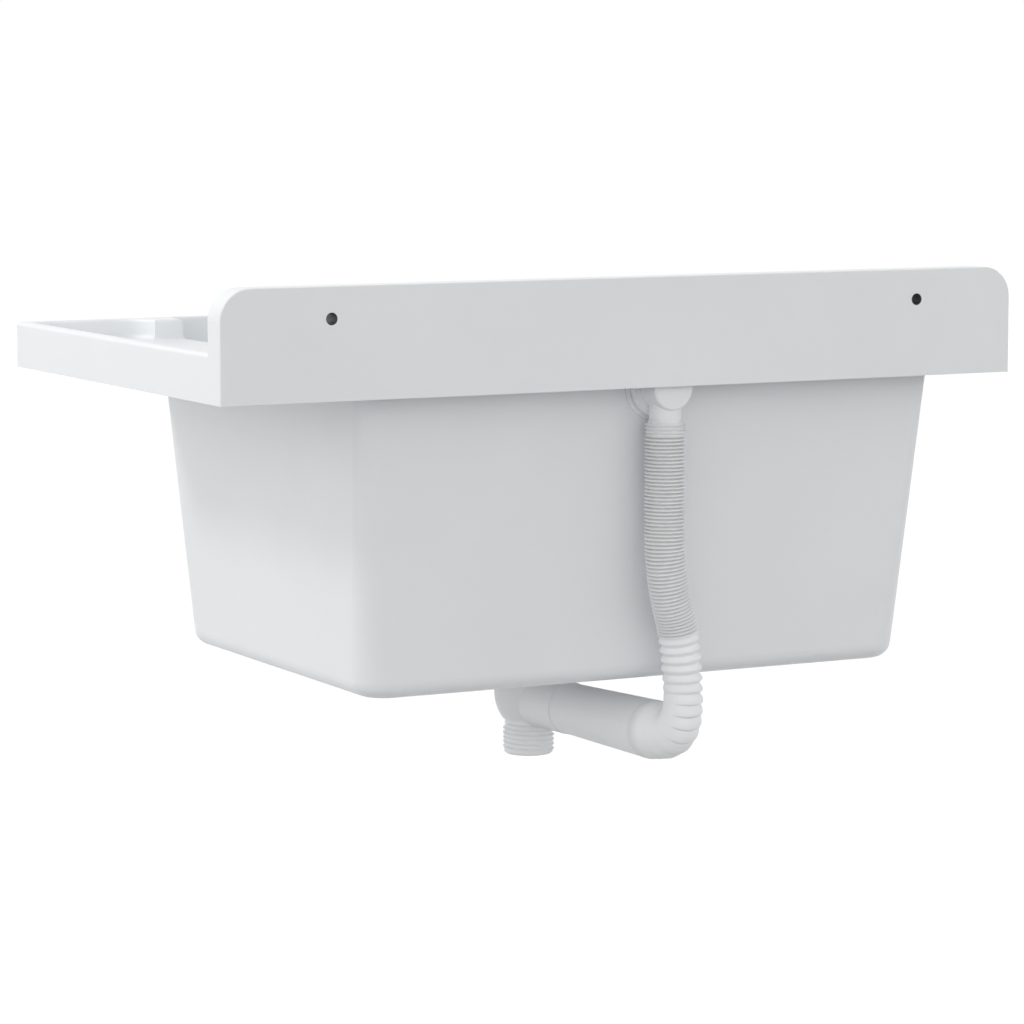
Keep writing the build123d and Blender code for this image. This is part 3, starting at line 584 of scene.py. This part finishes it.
def valley(along):
    """Radius between the ribs, and the depth of the ribs there."""
    swell = ramp(along, coarse_from, ribs_end)
    depth = FINE_DEPTH + (COARSE_DEPTH - FINE_DEPTH) * swell
    depth *= 1.0 - FADE * ramp(along, ribs_end - FADE_LENGTH, ribs_end) ** 2
    return FINE_CREST + (COARSE_CREST - FINE_CREST) * swell ** 3 - depth, depth


print("coarse ribs every", round(coarse_pitch / MM, 2), "mm")

# %% Profile of a rib
FIN, LOOSE_RIB, FOLD = 1.8, 1.6, 0.7
MIDDLE, LEDGE = 0.5, 0.8
# Painted shade on the hose: an even grey on its top band, grey in the gaps of the fine ribs that
# eases off towards the coarse ones, and a little in the folds.
EVEN_SHADE_TOP = 11.0 * MM
TOP_PAINTED_SHADE, FINE_PAINTED_SHADE, LOW_PAINTED_SHADE, COARSE_PAINTED_SHADE = 0.3, 1.1, 0.85, 0.05


def station(along, radius, rise=0.0, painted_shade_amount=0.0):
    """A ring of the hose: its frame, its rib's rise in radii, its share of bend and its painted
    shade.
    """
    return ring_frame(along, radius), rise / radius, ramp(along, BEND_FROM, BEND_TO), painted_shade_amount


def ribbed(along, share):
    """A station at a share of one rib: thin fins above, folds with a ledge in the bend."""
    low, depth = valley(along)
    if along < coarse_from:
        crest = sin(pi * share) ** FIN
        # Painted shade: grey in the gaps between the fine ribs, and an even grey on the top band.
        gap_painted_shade = FINE_PAINTED_SHADE + (LOW_PAINTED_SHADE - FINE_PAINTED_SHADE) * ramp(along, EVEN_SHADE_TOP, coarse_from)
        painted_shade_amount = TOP_PAINTED_SHADE if along < EVEN_SHADE_TOP else gap_painted_shade * (1.0 - crest)
        return station(along, low, depth * crest, painted_shade_amount)
    bend = ramp(along, BEND_FROM, BEND_TO)
    peak = MIDDLE + (LEDGE - MIDDLE) * bend
    if share < peak:
        climb = MIDDLE * share / peak
    else:
        climb = 1.0 - MIDDLE * (1.0 - share) / (1.0 - peak)
    crest = sin(pi * climb) ** (LOOSE_RIB + (FOLD - LOOSE_RIB) * bend)
    # Painted shade: a little grey in the gaps between the coarse folds.
    return station(along, low, depth * crest, COARSE_PAINTED_SHADE * (1.0 - crest))


print("folds peak at", MIDDLE, "of a rib above the bend and at", LEDGE, "in it")

# %% Stations along the hose
# The collar gets painted shade that grows towards the cuff and stays on over the lap.
COLLAR_STEPS, COLLAR_PAINTED_SHADE = 6, 0.4
LAP, LAP_T, LAP_END, END_R = 3.0 * MM, 0.05 * MM, 0.2 * MM, 16.0 * MM
BORE_WALL, END_BORE_R, BORE_STEPS = 0.5 * MM, 13.0 * MM, 32
stations = [station(0.0, valley(0.0)[0])]
for start, pitch, count, steps in (
    (TOP_EDGE, FINE_PITCH, FINE_RIBS, FINE_STEPS),
    (coarse_from, coarse_pitch, COARSE_RIBS, COARSE_STEPS),
):
    for step in range(count * steps):
        stations.append(ribbed(start + pitch * step / steps, step % steps / steps))
neck = valley(ribs_end)[0]
for step in range(COLLAR_STEPS + 1):
    share = step / COLLAR_STEPS
    radius = neck + (COLLAR_R - neck) * sin(pi / 2 * share)
    stations.append(station(ribs_end + COLLAR * share, radius, painted_shade_amount=COLLAR_PAINTED_SHADE * share))
for past_mouth, radius in (
    (LAP - LAP_END, COLLAR_R + LAP_T),
    (LAP, COLLAR_R - LAP_T),
    (LAP + LAP_END, END_R),
    (IN_CUFF, END_R),
):
    stations.append(station(cuff_mouth + past_mouth, radius, painted_shade_amount=COLLAR_PAINTED_SHADE))
for step in range(BORE_STEPS, -1, -1):
    along = hose_length * step / BORE_STEPS
    stations.append(station(along, min(valley(along)[0] - BORE_WALL, END_BORE_R)))
print(len(stations), "rings")


# %% A finished piece
def finished(name, shape, slot):
    """A smooth-shaded piece of the sink from a bmesh, with its slot's finish."""
    bmesh.ops.recalc_face_normals(shape, faces=shape.faces[:])
    for face in shape.faces:
        face.smooth = True
    mesh = bpy.data.meshes.new(name)
    shape.to_mesh(mesh)
    shape.free()
    mesh.materials.append(finish_of_slot[slot])
    piece = bpy.data.objects.new(name, mesh)
    scene.collection.objects.link(piece)
    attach(piece, "sink")
    print(name, len(mesh.vertices), "vertices")
    return piece


# %% Hose skin
HOSE_SEGMENTS = 48
SMOOTH_SIDE, RIBBED_SIDE = -0.1, 0.6
skin = bmesh.new()
painted_shade = skin.verts.layers.float.new("painted_shade")
bmesh.ops.create_circle(skin, segments=HOSE_SEGMENTS, radius=1.0, matrix=stations[0][0])
ring = skin.edges[:]
first_ring = ring
for (before, *_), (after, rise, bend, painted_shade_amount) in zip(stations, stations[1:]):
    grown = bmesh.ops.extrude_edge_only(skin, edges=ring)["geom"]
    points = [item for item in grown if isinstance(item, bmesh.types.BMVert)]
    bmesh.ops.transform(skin, matrix=before.inverted(), verts=points)
    for point in points:
        spoke = point.co.normalized()
        outside = ramp(-(spoke.x + spoke.y) / sqrt(2.0), SMOOTH_SIDE, RIBBED_SIDE)
        point.co = spoke * (1.0 + rise * (1.0 - bend * (1.0 - outside)))
        # Each point carries its ring's painted shade for the hose's finish.
        point[painted_shade] = painted_shade_amount
    bmesh.ops.transform(skin, matrix=after, verts=points)
    newest = set(points)
    edges = [item for item in grown if isinstance(item, bmesh.types.BMEdge)]
    ring = [edge for edge in edges if newest.issuperset(edge.verts)]
bmesh.ops.bridge_loops(skin, edges=first_ring + ring)
ribbed_hose = finished("ribbed_hose", skin, "hose_plastic")
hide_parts("overflow_hose")

# %% [markdown]
# The thread on the waste tail
# The trap's union nut screws on the tail, so the tail carries a coarse thread. A stack of rings
# would not be a thread: a small closed section is spun round the tail's axis instead, and drops by
# one pitch for each turn. Its foot stands in the tail's own wall, so no gap shows under it. The
# ridge slopes gently above and steeply below, and its edges are left sharp so that each turn has a
# light upper side and a dark line under it.

# %% Tail thread
TAIL_PITCH, TAIL_TURNS, TURN_STEPS = 3.35 * MM, 5.5, 56
TAIL_FOOT_R, TAIL_CREST_R = 16.9 * MM, 18.65 * MM
THREAD_RISE = 23.2 * MM
RUN_OUT = 0.93
CREASE = radians(28)
THREAD_SECTION = (
    # share of the pitch below the top, radius
    (0.05, TAIL_FOOT_R), (0.46, TAIL_CREST_R), (0.62, TAIL_CREST_R), (0.74, TAIL_FOOT_R),
)
waste_low, waste_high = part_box("waste_body")
tail_x = (waste_low.x + waste_high.x) / 2
tail_y = waste_low.y + (waste_high.x - waste_low.x) / 2
thread_top = waste_low.z + THREAD_RISE

thread = bmesh.new()
corners = [
    thread.verts.new((tail_x + radius, tail_y, thread_top - share * TAIL_PITCH))
    for share, radius in THREAD_SECTION
]
section = [thread.edges.new((corners[n - 1], corners[n])) for n in range(len(corners))]
turned = bmesh.ops.spin(
    thread, geom=corners + section, cent=(tail_x, tail_y, 0), axis=(0, 0, 1),
    dvec=(0, 0, -TAIL_PITCH / TURN_STEPS), angle=tau * TAIL_TURNS,
    steps=int(TURN_STEPS * TAIL_TURNS), use_merge=False,
)
last_section = [item for item in turned["geom_last"] if isinstance(item, bmesh.types.BMEdge)]
tail_centre = Matrix.Translation((-tail_x, -tail_y, 0))
for ending in (section, last_section):
    run_out = {point for edge in ending for point in edge.verts}
    bmesh.ops.scale(thread, vec=(RUN_OUT, RUN_OUT, 1), space=tail_centre, verts=list(run_out))
for ending in (section, last_section):
    bmesh.ops.edgeloop_fill(thread, edges=ending)
for edge in thread.edges:
    edge.smooth = edge.calc_face_angle(0.0) < CREASE
finished("tail_thread", thread, "white_plastic")
